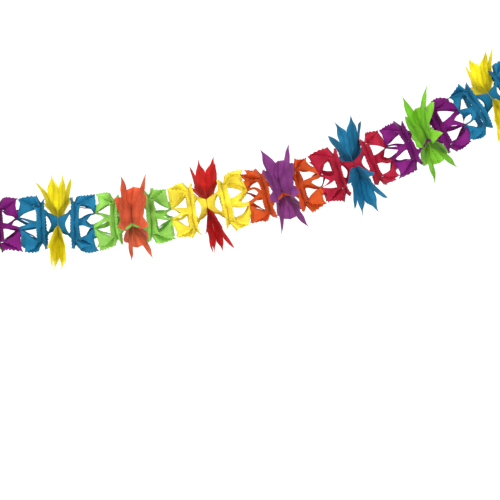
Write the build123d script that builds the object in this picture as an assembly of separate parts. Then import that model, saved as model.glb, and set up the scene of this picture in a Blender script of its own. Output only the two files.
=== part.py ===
from build123d import *
from functools import lru_cache
import math
import os

os.makedirs("parts", exist_ok=True)

# A garland of die-cut tissue paper, as it hangs stretched. Each unit is a stack of six sheets:
# outer, inner and flower sheet, and the same three again as in a mirror. The sheets are glued
# to each other in small spots only, so that the stack opens into cells when it is pulled.
# The strand starts level at its left end and climbs to the right. +X runs along it at its
# left end, +Z is up, and -Y is the side it is looked at from. The origin is the hanging hole
# of the left end card, in the face that the paper is glued to. Lengths are in millimetres.

# The strand
unit_pitch = 140.0
paper = 0.4
swag_end_angle = 36.8
swag_growth = 1.54

# Body colour, flower colour, and the side on which the upper fan stays open: its low one,
# towards the viewer, or its back one. The lower fan is the upper one, half a turn on.
units = [
    ("purple", "green", "low"),
    ("blue", "yellow", "back"),
    ("green", "coral", "low"),
    ("yellow", "red", "back"),
    ("orange", "violet", "low"),
    ("crimson", "blue", "back"),
    ("purple", "green", "low"),
    ("blue", "yellow", "back"),
]

# Direction of the upper fan of each unit in degrees: 0 towards the viewer, 90 up
fan_angles = [27.0, 118.0, 25.0, 116.0, 28.0, 134.0, 30.0, 118.0]

# How wide the upper and the lower fan of each unit stand open, as a share of the full width,
# and how far they lean along the strand, as a share of their height
spread_shares = [
    (0.80, 0.80), (0.80, 0.60), (0.80, 0.70), (0.80, 0.60),
    (0.90, 0.80), (0.80, 0.80), (0.80, 0.80), (0.80, 0.80),
]
lean_shares = [
    (0.00, 0.00), (-0.02, 0.00), (0.09, 0.04), (0.09, 0.12),
    (0.06, 0.05), (0.04, 0.03), (0.12, 0.03), (0.12, 0.00),
]

# Places on a body sheet have three sizes: out is the distance along the strand from the
# unit's middle, radius the distance from the strand's axis, and aside the distance sideways.

# The spot in the middle of the inner sheets, a square
heart_glue_half = 11.6

# The bow: four flaps round that square, each with a lip that dips between two corner necks
bow_dip_out = 11.0
bow_dip_radius = 17.5
neck_half = 3.3
neck_root_out = 20.0
neck_root_radius = 24.0
neck_end_out = 21.0
neck_end_radius = 28.0

# The four spots between inner and outer sheet, on the straight directions
tack_out = 31.3
tack_radius = 34.0
tack_half = 3.7

# The frame of the inner sheet: raised between the spots, with its corners folded back
frame_fold_out = 29.3
frame_fold_radius = 39.0
inner_corner_out = 22.8
inner_corner_half = 46.0

# The four spots between the outer sheets of two units, on the diagonals
joint_near_radius = 12.5
joint_side_radius = 24.0
joint_side_half = 4.5
joint_far_radius = 41.0

# The web between two slits: it leaves the spot, narrows to a waist and forks into two arms
waist_out = 46.0
waist_radius = 29.5
waist_half = 4.6
fork_out = 57.0
fork_radius = 24.0

# The long slits of the outer sheet, one on each side of every web
slit_start_out = 32.6
slit_start_aside = 7.5
slit_knee_out = 36.0
slit_knee_radius = 34.5
slit_knee_aside = 21.0
slit_crest_out = 48.0
slit_crest_radius = 34.0
slit_crest_aside = 25.0
slit_end_out = 65.0
slit_end_radius = 28.0
slit_end_aside = 16.5

# The free edge of the outer sheet
outer_bend_out = 40.2
outer_bend_radius = 49.5
outer_bend_aside = 34.0
outer_corner_out = 68.0
outer_corner_half = 46.0

# A flower sheet: a glued middle and two opposite fans of three spikes
flower_heart_radius = 19.0
cup_radius = 36.0
rim_radius = 57.0
cup_out = 12.0
rim_out = 20.5
spike_radius = 93.0
spike_out = 36.0
open_spike_out = 26.0
open_cup_out = 5.0
open_rim_radius = 50.0
open_rim_out = 11.0

# The side of a fan that is glued to its partner. Where the fan opens to the back it is high,
# and its spike is broad and rises beside the partner's. Where it opens to the viewer it has a
# shoulder, and its spike is slender and stands off.
high_seam_radius = 64.0
broad_spike_out = 12.0
low_seam_radius = 57.0
shoulder_out = 13.0
slender_spike_out = 27.0

# Directions on a fan, in degrees from its middle
fan_half_angle = 51.0
seam_half_angle = 3.0
shoulder_angle = 39.0
seam_spike_angle = 33.0
open_spike_angle = 36.0
valley_angle = 21.0

# The end cards
card = 1.5
card_side = 62.0
hole_diameter = 5.0

strand_length = len(units) * unit_pitch
half_pitch = unit_pitch / 2


def slope(along):
    """The strand's angle above level, in radians, at a length along it."""
    return math.radians(swag_end_angle) * (max(along, 0) / strand_length) ** swag_growth


@lru_cache(maxsize=None)
def station(along):
    """Where the strand's axis is at a length along it, and its angle there."""
    steps = 400
    step = along / steps
    angles = [slope(step * (i + 0.5)) for i in range(steps)]
    level = step * sum(math.cos(angle) for angle in angles)
    rise = step * sum(math.sin(angle) for angle in angles)
    return level, rise, slope(along)


def hang(along, y, z):
    """A point of the straight strand, carried onto the hanging one."""
    level, rise, angle = station(round(along, 6))
    return Vector(level - z * math.sin(angle), y, rise + z * math.cos(angle))


def turned(point, degrees):
    """A point turned about the strand's axis."""
    out, y, z = point
    c = math.cos(math.radians(degrees))
    s = math.sin(math.radians(degrees))
    return out, y * c - z * s, y * s + z * c


def polar(out, radius, degrees):
    """A point by its direction: 0 towards the viewer, 90 up, 180 to the back."""
    direction = math.radians(degrees)
    return out, -radius * math.cos(direction), radius * math.sin(direction)


def diagonal(out, radius, aside=0):
    """A point on the diagonal between two straight directions, or beside it."""
    leg = math.sqrt(0.5)
    return out, (radius + aside) * leg, (radius - aside) * leg


def swapped(point):
    """The point on the other side of the diagonal."""
    return point[0], point[2], point[1]


def opposed(point):
    """The point on the other side of a straight direction."""
    return point[0], point[1], -point[2]


class Sheet:
    """One sheet of paper: flat triangular facets that meet at its folds."""

    def __init__(self):
        self.corners = []
        self.facets = []
        self.glued = set()
        self.known = {}

    def corner(self, point):
        key = tuple(round(value, 5) + 0.0 for value in point)
        if key not in self.known:
            self.known[key] = len(self.corners)
            self.corners.append(Vector(*point))
        return self.known[key]

    def facet(self, *points, glued=False, reverse=False):
        """Add a facet, or a fan of them. Its points run anticlockwise, or clockwise with reverse."""
        ring = [self.corner(point) for point in points]
        if glued:
            self.glued.update(ring)
        for second, third in zip(ring[1:], ring[2:]):
            self.facets.append((ring[0], third, second) if reverse else (ring[0], second, third))

    def across(self, facet):
        """A facet's normal, as long as twice its area."""
        a, b, c = [self.corners[i] for i in facet]
        return (b - a).cross(c - a)

    def edges(self):
        """The cut edges of the sheet, which only one facet has."""
        sides = [(f[i], f[(i + 1) % len(f)]) for f in self.facets for i in range(len(f))]
        known = set(sides)
        return [(a, b) for a, b in sides if (b, a) not in known]

    def solid(self, middle, way, leans=(0, 0)):
        """The sheet with its thickness, hung in the strand and facing along it or back."""
        normals = [Vector(0, 0, 0) for _ in self.corners]
        for facet in self.facets:
            for i in facet:
                normals[i] += self.across(facet)
        front = []
        back = []
        for i, corner in enumerate(self.corners):
            normal = Vector(1, 0, 0) if i in self.glued else normals[i].normalized()
            for face, side in ((front, 1), (back, -1)):
                point = corner + normal * (side * paper / 2)
                above = max(point.Z - flower_heart_radius, 0)
                below = max(-point.Z - flower_heart_radius, 0)
                along = middle + way * point.X + leans[0] * above + leans[1] * below
                face.append(hang(along, point.Y, point.Z))
        triangles = [[front[i] for i in facet] for facet in self.facets]
        triangles += [[back[i] for i in reversed(facet)] for facet in self.facets]
        for a, b in self.edges():
            triangles.append([back[a], back[b], front[b]])
            triangles.append([back[a], front[b], front[a]])
        if way < 0:
            triangles = [list(reversed(triangle)) for triangle in triangles]
        faces = [Face(Wire.make_polygon(triangle, close=True)) for triangle in triangles]
        return Solid(Shell(faces))


def four_ways(glued, middle, half):
    """A sheet from the facets of one straight direction, repeated for all four.

    The glued facets and those in the middle lie on both sides of the direction. Those of the
    half lie on one side and are added again, opposed, on the other.
    """
    sheet = Sheet()
    for quarter in range(4):
        def put(points, **kind):
            sheet.facet(*[turned(point, 90 * quarter) for point in points], **kind)

        for points in glued:
            put(points, glued=True)
        for points in middle:
            put(points)
        for points in half:
            put(points)
            put([opposed(point) for point in points], reverse=True)
    return sheet


def inner_sheet():
    """The sheet glued to the flower: a bow in the middle, hung by its corners in a frame."""
    level = 1.5 * paper
    spot = tack_out - paper / 2
    heart = (level, heart_glue_half, heart_glue_half)
    dip = (bow_dip_out, bow_dip_radius, 0)
    root = diagonal(neck_root_out, neck_root_radius, neck_half)
    end = diagonal(neck_end_out, neck_end_radius, neck_half)
    near = (spot, tack_radius - tack_half, tack_half)
    far = (spot, tack_radius + tack_half, tack_half)
    fold = diagonal(frame_fold_out, frame_fold_radius)
    tip = (inner_corner_out, inner_corner_half, inner_corner_half)
    glued = [
        [(level, 0, 0), opposed(heart), heart],
        [opposed(near), opposed(far), far, near],
    ]
    middle = [
        [opposed(heart), dip, heart],
        [opposed(far), opposed(tip), tip, far],
        [heart, root, swapped(root)],
        [root, end, swapped(end), swapped(root)],
        [end, fold, swapped(end)],
    ]
    half = [
        [heart, dip, root],
        [near, fold, end],
        [near, tip, fold],
        [near, far, tip],
    ]
    return four_ways(glued, middle, half)


def outer_sheet():
    """The sheet glued to the next unit: forked webs inside a frame with raised corners."""
    spot = tack_out + paper / 2
    joint = half_pitch - paper / 2
    near = (spot, tack_radius - tack_half, tack_half)
    far = (spot, tack_radius + tack_half, tack_half)
    inside = diagonal(joint, joint_near_radius)
    beside = diagonal(joint, joint_side_radius, joint_side_half)
    outside = diagonal(joint, joint_far_radius)
    waist = (waist_out, waist_radius, waist_half)
    fork = (fork_out, fork_radius, 0)
    start = (slit_start_out, tack_radius, slit_start_aside)
    knee = (slit_knee_out, slit_knee_radius, slit_knee_aside)
    crest = (slit_crest_out, slit_crest_radius, slit_crest_aside)
    end = (slit_end_out, slit_end_radius, slit_end_aside)
    bend = (outer_bend_out, outer_bend_radius, outer_bend_aside)
    tip = (outer_corner_out, outer_corner_half, outer_corner_half)
    glued = [
        [opposed(near), opposed(far), far, near],
        [inside, beside, outside, swapped(beside)],
    ]
    middle = [
        [opposed(far), opposed(bend), bend, far],
        [opposed(near), near, waist, fork, opposed(waist)],
        [outside, end, tip, swapped(end)],
    ]
    half = [
        [near, start, waist],
        [waist, beside, inside, fork],
        [near, far, start],
        [far, bend, start],
        [start, bend, knee],
        [knee, bend, crest],
        [crest, bend, tip],
        [crest, tip, end],
        [beside, end, outside],
    ]
    return four_ways(glued, middle, half)


def flower_sheet(direction, open_side, spreads):
    """Two opposite fans. Each is glued to its partner along one side and open on the other."""
    level = paper / 2
    seam = -fan_half_angle
    inner_seam = seam + 2 * seam_half_angle
    broad = open_side == "back"
    opening = 1 if broad else -1
    seam_radius = high_seam_radius if broad else low_seam_radius
    seam_spike_out = broad_spike_out if broad else slender_spike_out
    sheet = Sheet()
    for turn, spread in zip((0, 180), spreads):
        def place(out, radius, degrees):
            way = direction + turn + opening * degrees
            return polar(max(out * spread, level), radius, way)

        def put(*points, glued=False):
            sheet.facet(*points, glued=glued, reverse=broad)

        heart = [
            place(0, flower_heart_radius, angle)
            for angle in (seam, inner_seam, 0, fan_half_angle)
        ]
        cup = [
            place(0, cup_radius, inner_seam),
            place(cup_out, cup_radius, -valley_angle),
            place(cup_out, cup_radius, valley_angle),
            place(open_cup_out, cup_radius, fan_half_angle),
        ]
        rim = [
            place(0, seam_radius, inner_seam),
            place(rim_out, rim_radius, -valley_angle),
            place(rim_out, rim_radius, valley_angle),
            place(open_rim_out, open_rim_radius, fan_half_angle),
        ]
        shoulder = place(shoulder_out, rim_radius, -shoulder_angle)
        seam_tip = place(seam_spike_out, spike_radius, -seam_spike_angle)
        tip = place(spike_out, spike_radius, 0)
        open_tip = place(open_spike_out, spike_radius, open_spike_angle)

        put((level, 0, 0), *heart, place(0, flower_heart_radius, seam + 180), glued=True)
        put(heart[0], place(0, seam_radius, seam), rim[0], cup[0], heart[1], glued=True)
        put(heart[1], cup[0], cup[1])
        put(heart[1], cup[1], heart[2])
        put(heart[2], cup[1], cup[2])
        put(heart[2], cup[2], heart[3])
        put(heart[3], cup[2], cup[3])
        if broad:
            put(cup[0], rim[0], rim[1], cup[1])
            put(rim[0], seam_tip, rim[1])
        else:
            put(cup[0], rim[0], shoulder, rim[1], cup[1])
            put(shoulder, seam_tip, rim[1])
        put(cup[1], rim[1], rim[2], cup[2])
        put(rim[1], tip, rim[2])
        put(cup[2], rim[2], rim[3], cup[3])
        put(rim[2], open_tip, rim[3])
    return sheet


def end_card(along, way):
    """A square card with a punched hole, glued to the last joint spots of the strand."""
    angle = station(along)[2]
    facing = Vector(math.cos(angle), 0, math.sin(angle)) * way
    face = Plane(origin=hang(along, 0, 0), x_dir=(0, 1, 0), z_dir=facing)
    outline = Rectangle(card_side, card_side) - Circle(hole_diameter / 2)
    return extrude(face * outline, amount=card)


def save(shape, name):
    export_step(shape, f"parts/{name}.step")


inner = inner_sheet()
outer = outer_sheet()
rows = zip(units, fan_angles, spread_shares, lean_shares)
for number, (unit, direction, spreads, leans) in enumerate(rows, start=1):
    body, flower, open_side = unit
    middle = unit_pitch * (number - 0.5)
    petals = flower_sheet(direction, open_side, spreads)
    for hand, way in (("left", -1), ("right", 1)):
        save(outer.solid(middle, way), f"unit_{number}_{body}_outer_{hand}")
        save(inner.solid(middle, way), f"unit_{number}_{body}_inner_{hand}")
        save(petals.solid(middle, way, leans), f"unit_{number}_{flower}_flower_{hand}")

save(end_card(0, -1), "end_card_left")
save(end_card(strand_length, 1), "end_card_right")
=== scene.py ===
"""A paper garland in its looks: soft tissue sheets hung on the strand, a pale stage and light."""

import math

import bpy
from bpy.props import FloatProperty, FloatVectorProperty, IntProperty, PointerProperty
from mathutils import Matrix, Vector


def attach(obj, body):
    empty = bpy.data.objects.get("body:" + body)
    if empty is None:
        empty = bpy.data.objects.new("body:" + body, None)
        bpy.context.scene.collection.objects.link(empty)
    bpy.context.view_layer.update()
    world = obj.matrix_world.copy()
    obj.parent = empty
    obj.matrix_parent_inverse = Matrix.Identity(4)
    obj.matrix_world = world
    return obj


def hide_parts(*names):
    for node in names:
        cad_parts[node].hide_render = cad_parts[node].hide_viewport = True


bl_info = {
    "name": "Paper garland",
    "version": (1, 0, 0),
    "blender": (4, 5, 0),
    "location": "3D View > Sidebar > Garland",
    "description": "Tissue sheets, end cards and stage of a hanging paper garland",
    "category": "Object",
}

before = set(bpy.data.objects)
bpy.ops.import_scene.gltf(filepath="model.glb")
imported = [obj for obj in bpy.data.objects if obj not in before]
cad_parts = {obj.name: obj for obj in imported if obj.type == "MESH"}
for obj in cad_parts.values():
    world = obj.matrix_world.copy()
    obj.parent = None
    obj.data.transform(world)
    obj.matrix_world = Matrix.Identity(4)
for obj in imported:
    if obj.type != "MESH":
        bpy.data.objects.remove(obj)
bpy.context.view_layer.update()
MM = 0.001

# Body colour, flower colour, the dye of the body, direction of the upper fan in degrees (0
# towards the viewer, 90 up), its open side (-1 towards the viewer, 1 back), radius of the
# seam's top, of the rim and of the spikes in millimetres, and how far the upper and the lower
# fan lean along the strand for each length of height
UNITS = [
    ("purple", "green", "purple", 27, -1, 57, 57, 93, (0.00, 0.00)),
    ("blue", "yellow", "blue", 118, 1, 65, 60, 93, (0.07, -0.07)),
    ("green", "coral", "leaf", 25, -1, 57, 57, 93, (0.12, 0.06)),
    ("yellow", "red", "lemon", 116, 1, 65, 60, 93, (0.12, 0.05)),
    ("orange", "violet", "orange", 28, -1, 57, 57, 93, (0.11, 0.065)),
    ("crimson", "blue", "crimson", 129, 1, 62, 58, 93, (0.14, -0.05)),
    ("purple", "green", "purple", 30, -1, 57, 57, 93, (0.32, 0.04)),
    ("blue", "yellow", "blue", 118, 1, 62, 60, 85, (0.33, 0.00)),
]

# How far each fan stands open in millimetres: its seam spike, its middle spike, its open spike
# and its rim, for the upper left, upper right, lower left and lower right fan of each unit
FANS = [
    [(26, 29, 23, 19), (26, 29, 23, 19), (26, 29, 23, 19), (26, 29, 23, 19)],
    [(12, 43, 34, 22), (12, 24, 24, 17), (7, 8, 16, 15), (7, 18, 16, 15)],
    [(25, 30, 26, 20), (25, 30, 26, 20), (20, 24, 20, 16), (20, 24, 20, 16)],
    [(15, 32, 36, 22), (18, 19, 22, 22), (8, 10, 16, 12), (9, 27, 20, 15)],
    [(28, 29, 31, 21), (28, 29, 28, 21), (25, 25, 22, 17), (25, 25, 22, 17)],
    [(18, 34, 38, 21), (18, 40, 36, 22), (15, 25, 24, 16), (15, 32, 28, 18)],
    [(26, 29, 23, 19), (31, 36, 32, 16), (23, 27, 22, 18), (26, 30, 24, 19)],
    [(19, 24, 30, 20), (26, 44, 38, 24), (12, 29, 23, 17), (12, 29, 23, 17)],
]

# Fans whose seam spike is broad down to the seam: the unit, and the fan's place in its row
BROAD_SPIKES = {(5, 0), (7, 0)}
HANDS = (("left", -1), ("right", 1))
BODY = "root"

# In millimetres: the thickness of the solid sheets that these stand for, how far from a unit's
# middle its inner sheets are glued to the outer ones, and where the next unit begins. Then the
# place of such a glue spot: its near and far side from the axis, and half its width
SOLID_PAPER = 0.4
TACK_OUT = 31.3
JOINT_OUT = 70
TACK_NEAR, TACK_FAR, TACK_HALF = 30.3, 37.7, 3.7

# In degrees from a fan's middle: its two sides, and the inner edge of the seam on its closed side
FAN_HALF = 51
SEAM = -45
# In millimetres from the axis: how far a flower's glued middle reaches at the seam, at the open
# side and between the two fans, and where a fan stands open by its hollow's and its rim's sizes
HEART_REACHES = (19, 12.5, 10.5)
HOLLOW_RADIUS = 36
RIM_RADIUS = 57
# How high the pleats of a fan stand in millimetres, and how many there would be all round
PLEAT_HEIGHT = 0.6
PLEATS_ROUND = 26

# In metres: points of a sheet closer than this are one, how far from an end card the strand is
# free to sway, and where on a sheet its webs begin to sway further
MERGED = 0.00002
CARD_HOLD = 0.045
WEB_START = (0.036, 0.050)
# How many times the hold of a glue spot is blurred outwards, and the sway's place in its noise
SPOT_SPREAD = 8
SWAY_FIELD = 7.0
STRAND_STEPS = 560

# The patterns in the tissue, the card and the floor, each by scale, detail and roughness
CLOUDS = (38.0, 3.0, 0.55)
FIBRES = (1400.0, 4.0, 0.62)
WRINKLES = (260.0, 4.0, 0.6)
PULP = (900.0, 5.0, 0.65)
PLASTER = (3.0, 3.0, 0.5)
# The dye's deep and pale places: shares of its red, green and blue, and what the pale one adds
DEEP_SHARES = (0.78, 0.76, 0.78)
PALE_SHARE, PALE_RISE = 1.12, 0.012

# In metres: the point that the camera looks at, how far it sees, the point that the lights are
# turned to, and the name, place, size and power in watts of each light
CAMERA_AIM = (0.564, 0, -0.0445)
FAR_CLIP = 60
LIT_POINT = (0.56, 0, 0)
LIGHTS = (
    ("key", (-0.5, -2.2, 1.7), (1.4, 1.4), 80),
    ("fill", (1.3, -2.4, -0.35), (1.8, 1.0), 36),
    ("back", (0.9, 2.4, 1.3), (1.8, 1.4), 40),
)


class StrandSizes(bpy.types.PropertyGroup):
    """The line that the garland hangs on"""

    pitch: FloatProperty(
        name="Unit pitch", description="Length of one unit along the strand",
        default=0.140, unit="LENGTH", subtype="DISTANCE")
    end_angle: FloatProperty(
        name="End angle", description="Slope of the strand at its right end",
        default=math.radians(36.8), subtype="ANGLE")
    growth: FloatProperty(
        name="Growth", description="How late along the strand the slope grows",
        default=1.54)


class PaperSizes(bpy.types.PropertyGroup):
    """The tissue sheets"""

    thickness: FloatProperty(
        name="Thickness", description="Thickness of a tissue sheet",
        default=0.00034, unit="LENGTH", subtype="DISTANCE")
    crumple_height: FloatProperty(
        name="Crumple height", description="How far a sheet wanders from its smooth form",
        default=0.0015, unit="LENGTH", subtype="DISTANCE")
    crumple_size: FloatProperty(
        name="Crumple size", description="Distance between two crumples",
        default=0.017, unit="LENGTH", subtype="DISTANCE")
    sway: FloatProperty(
        name="Sway", description="How far the whole strand wanders from its even form",
        default=0.014, unit="LENGTH", subtype="DISTANCE")
    web_sway: FloatProperty(
        name="Web sway", description="How much further the webs wander between their spots",
        default=0.024, unit="LENGTH", subtype="DISTANCE")
    sway_size: FloatProperty(
        name="Sway size", description="Distance between two wanderings of the strand",
        default=0.058, unit="LENGTH", subtype="DISTANCE")
    tooth_depth: FloatProperty(
        name="Tooth depth", description="Depth of the pinked teeth on the outer edges",
        default=0.0026, unit="LENGTH", subtype="DISTANCE")
    smoothing: IntProperty(
        name="Smoothing", description="Times that each facet is divided", default=3)
    glow: FloatProperty(
        name="Glow", description="Share of the light that passes through the tissue",
        default=0.5, subtype="FACTOR")


def colour_of(name, value):
    return FloatVectorProperty(
        name=name, description=f"Colour of the {name.lower()} tissue", size=4,
        subtype="COLOR", min=0, max=1, default=(*value, 1))


class TissueColours(bpy.types.PropertyGroup):
    """The colours of the tissue"""

    purple: colour_of("Purple", (0.23, 0.004, 0.20))
    green: colour_of("Green", (0.25, 0.60, 0.035))
    leaf: colour_of("Leaf", (0.33, 0.64, 0.12))
    blue: colour_of("Blue", (0.006, 0.21, 0.38))
    yellow: colour_of("Yellow", (0.82, 0.73, 0.006))
    lemon: colour_of("Lemon", (0.86, 0.76, 0.06))
    coral: colour_of("Coral", (0.70, 0.145, 0.055))
    red: colour_of("Red", (0.56, 0.010, 0.010))
    orange: colour_of("Orange", (0.64, 0.10, 0.010))
    violet: colour_of("Violet", (0.29, 0.055, 0.27))
    crimson: colour_of("Crimson", (0.50, 0.010, 0.048))


class StageSizes(bpy.types.PropertyGroup):
    """The floor and the camera"""

    lens: FloatProperty(
        name="Lens", description="Focal length of the camera", default=400,
        unit="CAMERA")
    seen_width: FloatProperty(
        name="Seen width", description="Width of the picture where the garland hangs",
        default=0.921, unit="LENGTH", subtype="DISTANCE")
    hanging_height: FloatProperty(
        name="Hanging height", description="Height of the garland's left end above the floor",
        default=0.95, unit="LENGTH", subtype="DISTANCE")
    floor_width: FloatProperty(
        name="Floor width", description="Width of the pale floor",
        default=12.0, unit="LENGTH", subtype="DISTANCE")


def mm(*lengths):
    return tuple(length * MM for length in lengths)


# A place on a body sheet, in the straight strand, is out along it from the unit's middle, then
# the distance from its axis in one of four straight directions, then the distance aside


def diagonal(out, radius, aside=0):
    """A point on the diagonal between two straight directions, or beside it."""
    leg = math.sqrt(0.5)
    return out, (radius + aside) * leg, (radius - aside) * leg


def swapped(point):
    return point[0], point[2], point[1]


def opposed(point):
    return point[0], point[1], -point[2]


def tack_spot(out):
    """Two corners of a glue spot between outer and inner sheet, the near and the far one."""
    return (out, TACK_NEAR, TACK_HALF), (out, TACK_FAR, TACK_HALF)


def note(mesh, name, domain, values):
    """Store a number for each point or edge of a mesh."""
    attribute = mesh.attributes.new(name, "FLOAT", domain)
    attribute.data.foreach_set("value", [float(value) for value in values])


class Pattern:
    """The facets of a sheet before they are smoothed, with its spots, corners and teeth."""

    def __init__(self):
        self.points = []
        self.faces = []
        self.glued = set()
        self.sharp = set()
        self.teeth = {}

    def at(self, point):
        key = tuple(round(value, 4) + 0.0 for value in point)
        if key not in self.points:
            self.points.append(key)
        return self.points.index(key)

    def facet(self, *points, glued=False, reverse=False):
        """A facet, its points anticlockwise, or clockwise with reverse."""
        ring = [self.at(point) for point in points]
        self.faces.append(ring[::-1] if reverse else ring)
        if glued:
            self.glued.update(ring)

    def both(self, *points):
        """A facet and the same on the other side of the straight direction."""
        self.facet(*points)
        self.facet(*[opposed(point) for point in points], reverse=True)

    def corner(self, *points):
        for point in points:
            self.sharp.add(self.at(point))
            self.sharp.add(self.at(opposed(point)))

    def tooth(self, point, count):
        self.teeth[self.at(point)] = count
        self.teeth[self.at(opposed(point))] = count

    def mesh(self, name):
        made = bpy.data.meshes.new(name)
        made.from_pydata([mm(*point) for point in self.points], [], self.faces)
        indices = range(len(self.points))
        note(made, "glued", "POINT", [i in self.glued for i in indices])
        note(made, "sharp", "POINT", [i in self.glued or i in self.sharp for i in indices])
        note(made, "pinked", "POINT", [i in self.teeth for i in indices])
        note(made, "tooth", "POINT", [self.teeth.get(i, 0) for i in indices])
        folds = [set(edge.vertices) <= self.glued for edge in made.edges]
        note(made, "fold", "EDGE", folds)
        return made


def outer_pattern():
    """A quarter of the sheet that reaches the next unit."""
    joint = JOINT_OUT - SOLID_PAPER / 2
    near, far = tack_spot(TACK_OUT + SOLID_PAPER / 2)
    inside = diagonal(joint, 12.5)
    beside = diagonal(joint, 24.0, 4.5)
    outside = diagonal(joint, 41.0)
    waist = (46.0, 29.5, 4.6)
    fork = (53.0, 25.5, 0)
    arm_in = (60.0, 21.5, 6.8)
    arm_out = (57.0, 27.5, 10.8)
    start = (32.2, 33.0, 7.5)
    low = (32.2, 32.2, 16.0)
    knee = (32.0, 32.7, 32.3)
    crest = (46.0, 33.5, 27.5)
    arch = (57.5, 31.0, 23.0)
    end = (65.0, 28.0, 16.5)
    dip = diagonal(68.3, 54.0)
    side = (40.2, 50.7, 0)
    bend = (40.2, 50.2, 19.0)
    turn = (40.2, 49.4, 36.0)
    tip = (69.2, 46.0, 46.0)
    sheet = Pattern()
    sheet.facet(opposed(near), opposed(far), far, near, glued=True)
    sheet.facet(inside, beside, outside, swapped(beside), glued=True)
    sheet.facet(opposed(far), side, far)
    sheet.facet(opposed(near), near, waist, fork, opposed(waist))
    sheet.facet(outside, end, dip, swapped(end))
    sheet.both(near, start, waist)
    sheet.both(waist, arm_out, arm_in, fork)
    sheet.both(arm_out, beside, inside, arm_in)
    sheet.both(near, far, start)
    sheet.both(far, side, bend)
    sheet.both(far, bend, low, start)
    sheet.both(low, bend, turn, knee)
    sheet.both(knee, turn, crest)
    sheet.both(crest, turn, tip, arch)
    sheet.both(arch, tip, dip, end)
    sheet.both(beside, end, outside)
    sheet.corner(tip, start, knee, fork)
    sheet.tooth(side, 0)
    sheet.tooth(bend, 8)
    sheet.tooth(turn, 16)
    sheet.tooth(tip, 24)
    return sheet


def inner_pattern():
    """A quarter of the sheet that is glued to the flower."""
    middle = 1.5 * SOLID_PAPER
    heart = (middle, 11.6, 11.6)
    dip = (11.0, 17.5, 0)
    root = diagonal(20.0, 24.0, 3.3)
    end = diagonal(21.0, 28.0, 4.0)
    near, far = tack_spot(TACK_OUT - SOLID_PAPER / 2)
    rise = (34.4, 36.0, 17.0)
    fold = diagonal(35.4, 39.0)
    side = (24.0, 46.0, 0)
    bend = (24.0, 46.0, 22)
    tip = (24.5, 46.0, 46.0)
    sheet = Pattern()
    sheet.facet((middle, 0, 0), opposed(heart), heart, glued=True)
    sheet.facet(opposed(near), opposed(far), far, near, glued=True)
    sheet.facet(opposed(heart), dip, heart)
    sheet.facet(opposed(far), side, far)
    sheet.facet(heart, root, swapped(root))
    sheet.facet(root, end, swapped(end), swapped(root))
    sheet.facet(end, fold, swapped(end))
    sheet.both(heart, dip, root)
    sheet.both(near, rise, fold, end)
    sheet.both(near, far, rise)
    sheet.both(rise, bend, tip, fold)
    sheet.both(far, side, bend, rise)
    sheet.corner(tip, end)
    sheet.tooth(side, 0)
    sheet.tooth(bend, 8)
    sheet.tooth(tip, 16)
    return sheet


def eased(value, low, high):
    """0 below low, 1 above high and smooth between."""
    t = min(max((value - low) / (high - low), 0), 1)
    return t * t * (3 - 2 * t)


def along_table(table, value):
    """A value read from a short table, smooth between its rows."""
    for (a, low), (b, high) in zip(table, table[1:]):
        if value <= b:
            return low + (high - low) * eased(value, a, b)
    return table[-1][1]


def outline(angle, opening, seam_top, rim, spike):
    """How far a fan reaches from the strand's axis, at an angle from its middle."""
    edge = [(-FAN_HALF, seam_top), (-46.5, seam_top - 1), (-33, spike), (-21, rim)]
    if opening < 0:
        edge = [(-FAN_HALF, seam_top), (SEAM, seam_top + 1), (-39, rim), (-33, spike),
                (-19, rim + 8)]
    edge += [(-15, edge[-1][1]), (0, spike), (13.5, rim), (22.5, rim), (36, spike),
             (46.5, rim - 2), (FAN_HALF, 50)]
    for (a, low), (b, high) in zip(edge, edge[1:]):
        if angle <= b:
            return low + (high - low) * (angle - a) / (b - a)


def heart_reach(angle):
    """How far the glued middle of a flower sheet reaches, at an angle from a fan's middle."""
    seam, opening, between = HEART_REACHES
    if angle <= FAN_HALF:
        return seam - (seam - opening) * eased(angle, 5, FAN_HALF)
    return (between + (opening - between) * (1 - eased(angle, FAN_HALF, 90))
            + (seam - between) * eased(angle, 90, 180 - FAN_HALF))


def fan_out(radius, angle, opening, opened, spike, broad):
    """How far a fan stands out from the middle of the unit."""
    if angle <= SEAM:
        return 0.0
    seam, middle, last, rim = opened
    tips = [(SEAM, 0), (-37.5, seam * 0.75), (-33, seam), (0, middle), (34, last),
            (FAN_HALF, last / 2)]
    if opening > 0:
        shares = [(-37.5, 0.3), (-33, 0.45), (-24, 0.86)]
    else:
        shares = [(-39, 0.2 if broad else 0.58), (-24, 1)]
    rims = [(SEAM, 0), *((place, rim * share) for place, share in shares), (15, rim),
            (FAN_HALF, rim / 2)]
    hollows = [(SEAM, 0), (-36, rim * 0.44), (-20, rim * 0.63), (10, rim * 0.63),
               (FAN_HALF, rim * (0.25 if opening > 0 else 0.70))]
    heart = heart_reach(angle)
    hollow, edge, tip = (along_table(table, angle) for table in (hollows, rims, tips))
    pleat = (PLEAT_HEIGHT * math.sin(math.radians(angle * PLEATS_ROUND))
             * eased(radius, 24, 60) * eased(angle, SEAM, -38))
    profile = [(heart, 0), (HOLLOW_RADIUS, hollow), (RIM_RADIUS, edge), (spike, tip)]
    for (a, low), (b, high) in zip(profile, profile[1:]):
        if radius <= b:
            t = max((radius - a) / (b - a), 0)
            return low + (high - low) * (t if a > heart else t * (0.6 + 0.4 * t)) + pleat
    return tip + pleat


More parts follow.
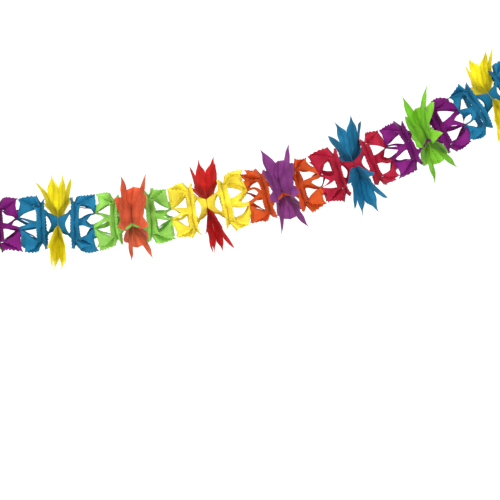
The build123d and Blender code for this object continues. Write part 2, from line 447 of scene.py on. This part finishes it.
def flower_pattern(direction, opening, seam_top, rim, spike, fans, broad):
    """A flower sheet: its glued middle, the upper fan and the lower one, half a turn on."""
    level = SOLID_PAPER / 2
    heart_rows, rows = 4, 13
    step, pinch_step = 1.5, 6
    fan = [-FAN_HALF + step * i for i in range(int(2 * FAN_HALF / step) + 1)]
    pinch = list(range(FAN_HALF + pinch_step, 180 - FAN_HALF, pinch_step))
    points, faces, glued = [], [], []

    def put(radius, angle, out, spot):
        turn = math.radians(direction + opening * angle)
        points.append((max(out, level), -radius * math.cos(turn), radius * math.sin(turn)))
        glued.append(spot)
        return len(points) - 1

    pole = put(0, 0, 0, 1)
    columns = []
    for half, opened in enumerate(fans):
        for angle in fan + pinch:
            around = angle + 180 * half
            heart = heart_reach(angle)
            column = [put(heart * row / heart_rows, around, 0, 1)
                      for row in range(1, heart_rows + 1)]
            if angle <= FAN_HALF:
                edge = outline(angle, opening, seam_top, rim, spike)
                for row in range(1, rows + 1):
                    radius = heart + (edge - heart) * row / rows
                    seam = 1 if angle <= SEAM else 1 - eased(radius, heart, heart + 12)
                    out = fan_out(radius, angle, opening, opened, spike, broad[half])
                    column.append(put(radius, around, out, seam))
            columns.append([pole] + column)
    for left, right in zip(columns, columns[1:] + columns[:1]):
        for low in range(min(len(left), len(right)) - 1):
            ring = [left[low], left[low + 1], right[low + 1], right[low]]
            if low == 0:
                ring = [pole, left[1], right[1]]
            faces.append(ring if opening > 0 else ring[::-1])
    made = bpy.data.meshes.new("flower_pattern")
    made.from_pydata([mm(*point) for point in points], [], faces)
    note(made, "glued", "POINT", glued)
    if sum(face.normal.x for face in made.polygons) < 0:
        made.flip_normals()
    return made


def add_node(tree, kind, *values, out=0, **settings):
    """A node with its inputs in order, None to leave one, and the output asked for."""
    node = tree.nodes.new(kind)
    for key, value in settings.items():
        setattr(node, key, value)
    sockets = [socket for socket in node.inputs if socket.enabled]
    for socket, value in zip(sockets, values):
        if isinstance(value, bpy.types.NodeSocket):
            tree.links.new(value, socket)
        elif value is not None:
            socket.default_value = value
    return [socket for socket in node.outputs if socket.enabled][out]


class Tree:
    """A geometry tree, filled in with short calls."""

    def __init__(self, name, sockets):
        self.group = bpy.data.node_groups.new(name, "GeometryNodeTree")
        for label, kind, default in sockets:
            socket = self.group.interface.new_socket(label, in_out="INPUT", socket_type=kind)
            if default is not None:
                socket.default_value = default
        self.group.interface.new_socket(
            "Geometry", in_out="OUTPUT", socket_type="NodeSocketGeometry")
        self.given = self.group.nodes.new("NodeGroupInput").outputs

    def add(self, kind, *values, out=0, **settings):
        return add_node(self.group, kind, *values, out=out, **settings)

    def math(self, operation, *values):
        return self.add("ShaderNodeMath", *values, operation=operation)

    def vector(self, operation, *values):
        return self.add("ShaderNodeVectorMath", *values, operation=operation)

    def split(self, vector):
        return self.add("ShaderNodeSeparateXYZ", vector).node.outputs

    def compare(self, operation, value, other, **settings):
        return self.add("FunctionNodeCompare", value, other, operation=operation, **settings)

    def noise(self, place, field, size, detail, roughness, out=0):
        scale = self.math("DIVIDE", 1.0, size)
        return self.add("ShaderNodeTexNoise", place, field, scale, detail, roughness, out=out,
                        noise_dimensions="4D")

    def rising(self, value, low, high):
        """0 below low, 1 above high and smooth between."""
        return self.add("ShaderNodeMapRange", value, low, high, interpolation_type="SMOOTHSTEP")

    def named(self, name):
        return self.add("GeometryNodeInputNamedAttribute", name, data_type="FLOAT")

    def finish(self, geometry):
        ending = self.group.nodes.new("NodeGroupOutput")
        self.group.links.new(geometry, ending.inputs[0])
        return self.group


def copied_round(tree):
    """Copies of the pattern round the strand's axis, joined to one sheet."""
    copies, still = tree.given["Copies"], (0.0, 0.0, 0.0)
    line = tree.add("GeometryNodeMeshLine", copies, None, still, still)
    index = tree.add("GeometryNodeInputIndex")
    angle = tree.math("MULTIPLY", index, tree.math("DIVIDE", math.tau, copies))
    turn = tree.add(
        "FunctionNodeEulerToRotation", tree.add("ShaderNodeCombineXYZ", angle, 0.0, 0.0))
    around = tree.add(
        "GeometryNodeInstanceOnPoints", line, None, tree.given["Geometry"], None, None, turn)
    joined = tree.add(
        "GeometryNodeMergeByDistance", tree.add("GeometryNodeRealizeInstances", around))
    joined.node.inputs["Distance"].default_value = MERGED
    return joined


def pinked(tree, sheet):
    """Teeth: every other point of a pinked edge steps in."""
    sides = tree.add("GeometryNodeInputMeshEdgeNeighbors")
    outermost = tree.compare("EQUAL", sides, 1, data_type="INT")
    toothed = tree.compare("GREATER_THAN", tree.named("pinked"), 0.99)
    odd = tree.math("PINGPONG", tree.math("ROUND", tree.named("tooth")), 1.0)
    is_odd = tree.compare("GREATER_THAN", odd, 0.5)
    chosen = tree.add("FunctionNodeBooleanMath", toothed, is_odd, operation="AND")
    chosen = tree.add("FunctionNodeBooleanMath", chosen, outermost, operation="AND")
    place = tree.add("GeometryNodeInputPosition")
    soft = tree.add("GeometryNodeBlurAttribute", place, 2, data_type="FLOAT_VECTOR")
    inward = tree.vector("NORMALIZE", tree.vector("SUBTRACT", soft, place))
    step = tree.vector("SCALE", inward, tree.given["Tooth depth"])
    return tree.add("GeometryNodeSetPosition", sheet, chosen, None, step)


def crumpled(tree, sheet):
    """Crumples along the strand, the same for all the sheets of one side of a unit."""
    given = tree.given
    flat = tree.vector("MULTIPLY", tree.add("GeometryNodeInputPosition"), (0.0, 1.0, 1.0))
    noise = tree.noise(flat, given["Seed"], given["Crumple size"], 2.0, 0.55)
    free = tree.math("SUBTRACT", 1.0, tree.named("glued"))
    height = tree.math("MULTIPLY", tree.math("SUBTRACT", noise, 0.5),
                       tree.math("MULTIPLY", given["Crumple height"], 2.0))
    lift = tree.add("ShaderNodeCombineXYZ", tree.math("MULTIPLY", height, free), 0.0, 0.0)
    return tree.add("GeometryNodeSetPosition", sheet, None, None, lift)


def sway(tree, x, out, place):
    """How a point wanders in the straight strand: least by the end cards, most on the webs."""
    given = tree.given
    drift = tree.noise(place, SWAY_FIELD, given["Sway size"], 0.0, 0.5, out=1)
    nearest = tree.math("MINIMUM", out, tree.math("SUBTRACT", given["Strand length"], out))
    freed = tree.rising(nearest, 0.0, CARD_HOLD)
    held = tree.add(
        "GeometryNodeBlurAttribute", tree.named("glued"), SPOT_SPREAD, data_type="FLOAT")
    loose = tree.math("MULTIPLY", tree.math("SUBTRACT", 1.0, held), tree.rising(x, *WEB_START))
    further = tree.math("MULTIPLY", loose, given["Web sway"])
    reach = tree.math("MULTIPLY", freed, tree.math("ADD", given["Sway"], further))
    return tree.vector("SCALE", tree.vector("SUBTRACT", drift, (0.5, 0.5, 0.5)), reach)


def lean(tree, z):
    """How far a flower leans along the strand at a height, by its upper and its lower fan."""
    leans = []
    for height, label in ((z, "Lean up"), (tree.math("MULTIPLY", z, -1.0), "Lean down")):
        beyond = tree.math("SUBTRACT", height, tree.given["Lean from"])
        beyond = tree.math("MAXIMUM", beyond, 0.0)
        leans.append(tree.math("MULTIPLY", beyond, tree.given[label]))
    return tree.math("ADD", *leans)


def hung(tree, sheet):
    """The sheet in its place along the strand, with its sway and lean, hung on the line."""
    given = tree.given
    x, y, z = tree.split(tree.add("GeometryNodeInputPosition"))
    out = tree.math("MULTIPLY_ADD", x, given["Facing"], given["Middle"])
    place = tree.add("ShaderNodeCombineXYZ", out, y, z)
    along, aside, up = tree.split(sway(tree, x, out, place))
    station = tree.math("ADD", tree.math("ADD", out, along), lean(tree, z))
    aside = tree.math("ADD", y, aside)
    up = tree.math("ADD", z, up)
    sample = tree.group.nodes.new("GeometryNodeSampleCurve")
    sample.mode = "LENGTH"
    strand = tree.add("GeometryNodeObjectInfo", given["Strand"], out=-1)
    tree.group.links.new(strand, sample.inputs["Curves"])
    tree.group.links.new(station, sample.inputs["Length"])
    level, _, rise = tree.split(sample.outputs["Tangent"])
    back = tree.math("MULTIPLY", tree.math("MULTIPLY", rise, up), -1.0)
    shift = tree.add("ShaderNodeCombineXYZ", back, aside, tree.math("MULTIPLY", level, up))
    position = tree.vector("ADD", sample.outputs["Position"], shift)
    return tree.add("GeometryNodeSetPosition", sheet, None, position, None)


def sheet_tree():
    """Copies of a pattern round the strand, smoothed, pinked, crumpled and hung on the line."""
    number, whole = "NodeSocketFloat", "NodeSocketInt"
    tree = Tree("Hung tissue sheet", [
        ("Geometry", "NodeSocketGeometry", None),
        ("Copies", whole, 4),
        ("Smoothing", whole, 3),
        ("Tooth depth", number, 0.0026),
        ("Crumple height", number, 0.001),
        ("Crumple size", number, 0.02),
        ("Seed", number, 0.0),
        ("Sway", number, 0.013),
        ("Web sway", number, 0.024),
        ("Sway size", number, 0.05),
        ("Strand length", number, 1.12),
        ("Middle", number, 0.07),
        ("Facing", number, 1.0),
        ("Lean up", number, 0.0),
        ("Lean down", number, 0.0),
        ("Lean from", number, 0.019),
        ("Strand", "NodeSocketObject", None),
        ("Tissue", "NodeSocketMaterial", None),
    ])
    given = tree.given
    smooth = tree.add("GeometryNodeSubdivisionSurface", copied_round(tree), given["Smoothing"],
                      tree.named("fold"), tree.named("sharp"))
    sheet = hung(tree, crumpled(tree, pinked(tree, smooth)))
    facing_left = tree.compare("LESS_THAN", given["Facing"], 0.0)
    turned = tree.add("GeometryNodeFlipFaces", sheet, facing_left)
    shaded = tree.add("GeometryNodeSetShadeSmooth", turned)
    dressed = tree.add("GeometryNodeSetMaterial", shaded, None, given["Tissue"])
    return tree.finish(dressed)


def strand_line(sizes):
    """The line through the middle of the units, as a curve whose length is the strand's."""
    length = sizes.pitch * len(UNITS)
    step = length / STRAND_STEPS
    data = bpy.data.curves.new("strand_line", "CURVE")
    data.dimensions = "3D"
    spline = data.splines.new("POLY")
    spline.points.add(STRAND_STEPS)
    x = z = 0.0
    for i in range(STRAND_STEPS + 1):
        spline.points[i].co = (x, 0, z, 1)
        angle = sizes.end_angle * ((i + 0.5) / STRAND_STEPS) ** sizes.growth
        x += step * math.cos(angle)
        z += step * math.sin(angle)
    line = bpy.data.objects.new("strand_line", data)
    bpy.context.scene.collection.objects.link(line)
    return line


def give(modifier, **values):
    """Set a geometry tree's inputs by their labels."""
    sockets = {item.name: item.identifier for item in modifier.node_group.interface.items_tree
               if item.in_out == "INPUT"}
    for label, value in values.items():
        modifier[sockets[label.replace("_", " ").capitalize()]] = value


def hung_sheet(name, pattern, tree, thickness, **values):
    """One sheet of tissue as a plain mesh, in its place."""
    raw = bpy.data.objects.new(name, pattern)
    bpy.context.scene.collection.objects.link(raw)
    modifier = raw.modifiers.new("hung", "NODES")
    modifier.node_group = tree
    give(modifier, **values)
    solid = raw.modifiers.new("thickness", "SOLIDIFY")
    solid.thickness = thickness
    solid.offset = 0
    bpy.context.view_layer.update()
    depsgraph = bpy.context.evaluated_depsgraph_get()
    mesh = bpy.data.meshes.new_from_object(raw.evaluated_get(depsgraph), depsgraph=depsgraph)
    bpy.data.objects.remove(raw)
    mesh.name = name
    piece = bpy.data.objects.new(name, mesh)
    bpy.context.scene.collection.objects.link(piece)
    return piece


def node_material(name):
    material = bpy.data.materials.new(name)
    material.use_nodes = True
    return material, material.node_tree


def toned(tree, share, dark, light):
    """A colour between two, each with its place on the scale of a share."""
    tone = add_node(tree, "ShaderNodeValToRGB", share)
    for element, (position, colour) in zip(tone.node.color_ramp.elements, (dark, light)):
        element.position, element.color = position, (*colour, 1)
    return tone


def bumped(tree, height, strength, distance):
    """The surface's direction, roughened by a pattern."""
    bump = tree.nodes.new("ShaderNodeBump")
    bump.inputs["Strength"].default_value = strength
    bump.inputs["Distance"].default_value = distance
    tree.links.new(height, bump.inputs["Height"])
    return bump.outputs[0]


def tissue(name, colour, glow):
    """Dyed tissue paper: clouded dye, fine fibres, a matt skin and light that passes through."""
    material, tree = node_material(f"dyed_{name}")
    tree.nodes.clear()
    link = tree.links.new

    def add(kind, *values, **settings):
        return add_node(tree, kind, *values, **settings)

    place = add("ShaderNodeTexCoord", out=3)
    clouds = add("ShaderNodeTexNoise", place, *CLOUDS)
    stretched = add("ShaderNodeVectorMath", place, (1.0, 0.45, 1.6), operation="MULTIPLY")
    fibres = add("ShaderNodeTexNoise", stretched, *FIBRES)
    wrinkles = add("ShaderNodeTexNoise", place, *WRINKLES)
    deep = [value * share for value, share in zip(colour, DEEP_SHARES)]
    pale = [min(value * PALE_SHARE + PALE_RISE, 1) for value in colour[:3]]
    dye = toned(tree, clouds, (0.30, deep), (0.72, pale))
    fleck = add("ShaderNodeMapRange", fibres, 0.3, 0.75, 0.90, 1.10)
    tint = add("ShaderNodeVectorMath", dye, fleck, operation="MULTIPLY")
    grain = add("ShaderNodeMath", add("ShaderNodeMath", wrinkles, 0.7, operation="MULTIPLY"),
                add("ShaderNodeMath", fibres, 0.3, operation="MULTIPLY"), operation="ADD")
    normal = bumped(tree, grain, 0.5, 0.00008)
    skin = tree.nodes.new("ShaderNodeBsdfPrincipled")
    link(tint, skin.inputs["Base Color"])
    link(normal, skin.inputs["Normal"])
    link(add("ShaderNodeMapRange", fibres, 0.3, 0.7, 0.62, 0.82), skin.inputs["Roughness"])
    skin.inputs["Specular IOR Level"].default_value = 0.2
    skin.inputs["Sheen Weight"].default_value = 0.03
    through = tree.nodes.new("ShaderNodeBsdfTranslucent")
    link(tint, through.inputs["Color"])
    link(normal, through.inputs["Normal"])
    mix = add("ShaderNodeMixShader", glow, skin.outputs[0], through.outputs[0])
    link(mix, tree.nodes.new("ShaderNodeOutputMaterial").inputs[0])
    return material


def clouded_matt(name, noise, dark, light, roughness):
    """A matt material that a pattern mixes from two colours, and its parts to build on."""
    material, tree = node_material(name)
    skin = tree.nodes["Principled BSDF"]
    place = add_node(tree, "ShaderNodeTexCoord", out=3)
    cloud = add_node(tree, "ShaderNodeTexNoise", place, *noise)
    tree.links.new(toned(tree, cloud, (0, dark), (1, light)), skin.inputs["Base Color"])
    skin.inputs["Roughness"].default_value = roughness
    return material, tree, skin, cloud


def card_stock():
    """Grey-brown card with a fine grain, for the end cards."""
    material, tree, skin, pulp = clouded_matt(
        "end_card_stock", PULP, (0.50, 0.47, 0.41), (0.66, 0.63, 0.56), 0.8)
    tree.links.new(bumped(tree, pulp, 0.4, 0.0003), skin.inputs["Normal"])
    return material


def pale_plaster():
    """Matt white with a faint cloud, for the floor."""
    return clouded_matt(
        "pale_plaster", PLASTER, (0.82, 0.82, 0.81), (0.86, 0.86, 0.85), 0.9)[0]


def tissue_material(name):
    found = bpy.data.materials.get(f"dyed_{name}")
    if found:
        return found
    scene = bpy.context.scene
    return tissue(name, getattr(scene.garland_colours, name), scene.garland_paper.glow)


def sheet_values(number, hand_sign, scene):
    """The geometry tree's inputs that all sheets of one side of a unit share."""
    paper = scene.garland_paper
    return {
        "Crumple_height": paper.crumple_height,
        "Crumple_size": paper.crumple_size,
        "Sway": paper.sway,
        "Web_sway": paper.web_sway,
        "Sway_size": paper.sway_size,
        "Strand_length": scene.garland_strand.pitch * len(UNITS),
        "Middle": scene.garland_strand.pitch * (number - 0.5),
        "Facing": float(hand_sign),
        "Seed": number * 3.7 + hand_sign * 1.3,
        "Strand": bpy.data.objects["strand_line"],
    }


def shared_tree():
    return bpy.data.node_groups.get("Hung tissue sheet") or sheet_tree()


def dress(piece, node):
    """Put a sheet in the place of its solid."""
    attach(piece, BODY)
    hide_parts(node)


class GARLAND_OT_strand(bpy.types.Operator):
    """Draw the line that the units hang on"""

    bl_idname = "garland.strand"
    bl_label = "Strand line"

    def execute(self, context):
        strand_line(context.scene.garland_strand)
        return {"FINISHED"}


def body_sheets(kind, pattern, scene):
    paper = scene.garland_paper
    mesh = pattern.mesh(f"{kind}_pattern")
    for number, unit in enumerate(UNITS, start=1):
        for hand, sign in HANDS:
            node = f"unit_{number}_{unit[0]}_{kind}_{hand}"
            piece = hung_sheet(
                f"{node}_sheet", mesh, shared_tree(), paper.thickness,
                Copies=4, Smoothing=paper.smoothing,
                Tooth_depth=paper.tooth_depth, Tissue=tissue_material(unit[2]),
                **sheet_values(number, sign, scene))
            dress(piece, node)


class GARLAND_OT_outer_sheets(bpy.types.Operator):
    """Hang the outer body sheets, whose webs reach the next unit"""

    bl_idname = "garland.outer_sheets"
    bl_label = "Outer body sheets"

    def execute(self, context):
        body_sheets("outer", outer_pattern(), context.scene)
        return {"FINISHED"}


class GARLAND_OT_inner_sheets(bpy.types.Operator):
    """Hang the inner body sheets, with the bow in their middle"""

    bl_idname = "garland.inner_sheets"
    bl_label = "Inner body sheets"

    def execute(self, context):
        body_sheets("inner", inner_pattern(), context.scene)
        return {"FINISHED"}


class GARLAND_OT_flowers(bpy.types.Operator):
    """Hang the flower sheets, two to a unit"""

    bl_idname = "garland.flowers"
    bl_label = "Flowers"

    def execute(self, context):
        scene = context.scene
        paper = scene.garland_paper
        for number, unit in enumerate(UNITS, start=1):
            colour, direction, opening, seam_top, rim, spike, leans = unit[1], *unit[3:]
            for side, (hand, sign) in enumerate(HANDS):
                fans = FANS[number - 1][side::2]
                broad = [(number, place) in BROAD_SPIKES for place in (side, side + 2)]
                mesh = flower_pattern(direction, opening, seam_top, rim, spike, fans, broad)
                node = f"unit_{number}_{colour}_flower_{hand}"
                piece = hung_sheet(
                    f"{node}_sheet", mesh, shared_tree(), paper.thickness,
                    Copies=1, Smoothing=0, Tooth_depth=0.0, Tissue=tissue_material(colour),
                    Lean_up=leans[0], Lean_down=leans[1],
                    **sheet_values(number, sign, scene))
                dress(piece, node)
        return {"FINISHED"}


class GARLAND_OT_end_cards(bpy.types.Operator):
    """Give the two end cards their card stock"""

    bl_idname = "garland.end_cards"
    bl_label = "End cards"

    def execute(self, context):
        material = card_stock()
        for hand, _ in HANDS:
            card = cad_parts[f"end_card_{hand}"]
            card.data.materials.clear()
            card.data.materials.append(material)
        return {"FINISHED"}


def area_light(name, place, size, power):
    data = bpy.data.lights.new(name, "AREA")
    data.shape = "RECTANGLE"
    data.size, data.size_y = size
    data.energy = power
    lamp = bpy.data.objects.new(name, data)
    lamp.location = place
    aim = Vector(LIT_POINT) - Vector(place)
    lamp.rotation_euler = aim.to_track_quat("-Z", "Y").to_euler()
    bpy.context.scene.collection.objects.link(lamp)


class GARLAND_OT_stage(bpy.types.Operator):
    """Set the pale floor, the soft lights and the camera"""

    bl_idname = "garland.stage"
    bl_label = "Stage"

    def execute(self, context):
        scene = context.scene
        sizes = scene.garland_stage
        middle = Vector(CAMERA_AIM)
        camera = bpy.data.objects.new("camera", bpy.data.cameras.new("camera"))
        scene.collection.objects.link(camera)
        camera.data.lens = sizes.lens
        camera.data.clip_end = FAR_CLIP
        distance = sizes.seen_width * sizes.lens / camera.data.sensor_width
        camera.location = middle - Vector((0, distance, 0))
        camera.rotation_euler = (math.radians(90), 0, 0)
        scene.camera = camera
        floor_mesh = bpy.data.meshes.new("floor")
        half = sizes.floor_width / 2
        corners = [(-half, -half), (half, -half), (half, half), (-half, half)]
        floor_mesh.from_pydata(
            [(middle.x + x, y, -sizes.hanging_height) for x, y in corners], [], [(0, 1, 2, 3)])
        floor = bpy.data.objects.new("floor", floor_mesh)
        floor_mesh.materials.append(pale_plaster())
        scene.collection.objects.link(floor)
        world = bpy.data.worlds.new("pale_room")
        world.use_nodes = True
        background = world.node_tree.nodes["Background"]
        background.inputs["Color"].default_value = (1, 1, 1, 1)
        background.inputs["Strength"].default_value = 1.25
        scene.world = world
        scene.view_settings.view_transform = "Standard"
        for light in LIGHTS:
            area_light(*light)
        return {"FINISHED"}


OPERATORS = (
    GARLAND_OT_strand,
    GARLAND_OT_outer_sheets,
    GARLAND_OT_inner_sheets,
    GARLAND_OT_flowers,
    GARLAND_OT_end_cards,
    GARLAND_OT_stage,
)


class GARLAND_PT_panel(bpy.types.Panel):
    """The garland's sizes, colours and pieces"""

    bl_idname = "GARLAND_PT_panel"
    bl_label = "Paper garland"
    bl_space_type = "VIEW_3D"
    bl_region_type = "UI"
    bl_category = "Garland"

    def draw(self, context):
        layout = self.layout
        for group in ("strand", "paper", "colours", "stage"):
            sizes = getattr(context.scene, f"garland_{group}")
            box = layout.box()
            box.label(text=group.capitalize())
            for name in sizes.bl_rna.properties.keys():
                if name not in ("rna_type", "name"):
                    box.prop(sizes, name)
        for operator in OPERATORS:
            layout.operator(operator.bl_idname)


GROUPS = {
    "strand": StrandSizes,
    "paper": PaperSizes,
    "colours": TissueColours,
    "stage": StageSizes,
}


def register():
    for group in GROUPS.values():
        bpy.utils.register_class(group)
    for name, group in GROUPS.items():
        setattr(bpy.types.Scene, f"garland_{name}", PointerProperty(type=group))
    for operator in OPERATORS:
        bpy.utils.register_class(operator)
    bpy.utils.register_class(GARLAND_PT_panel)


def unregister():
    bpy.utils.unregister_class(GARLAND_PT_panel)
    for operator in reversed(OPERATORS):
        bpy.utils.unregister_class(operator)
    for name, group in GROUPS.items():
        delattr(bpy.types.Scene, f"garland_{name}")
        bpy.utils.unregister_class(group)


def main():
    register()
    bpy.ops.garland.strand()
    bpy.ops.garland.outer_sheets()
    bpy.ops.garland.inner_sheets()
    bpy.ops.garland.flowers()
    bpy.ops.garland.end_cards()
    bpy.ops.garland.stage()
    bpy.data.objects.remove(bpy.data.objects["strand_line"])


if __name__ == "__main__":
    main()
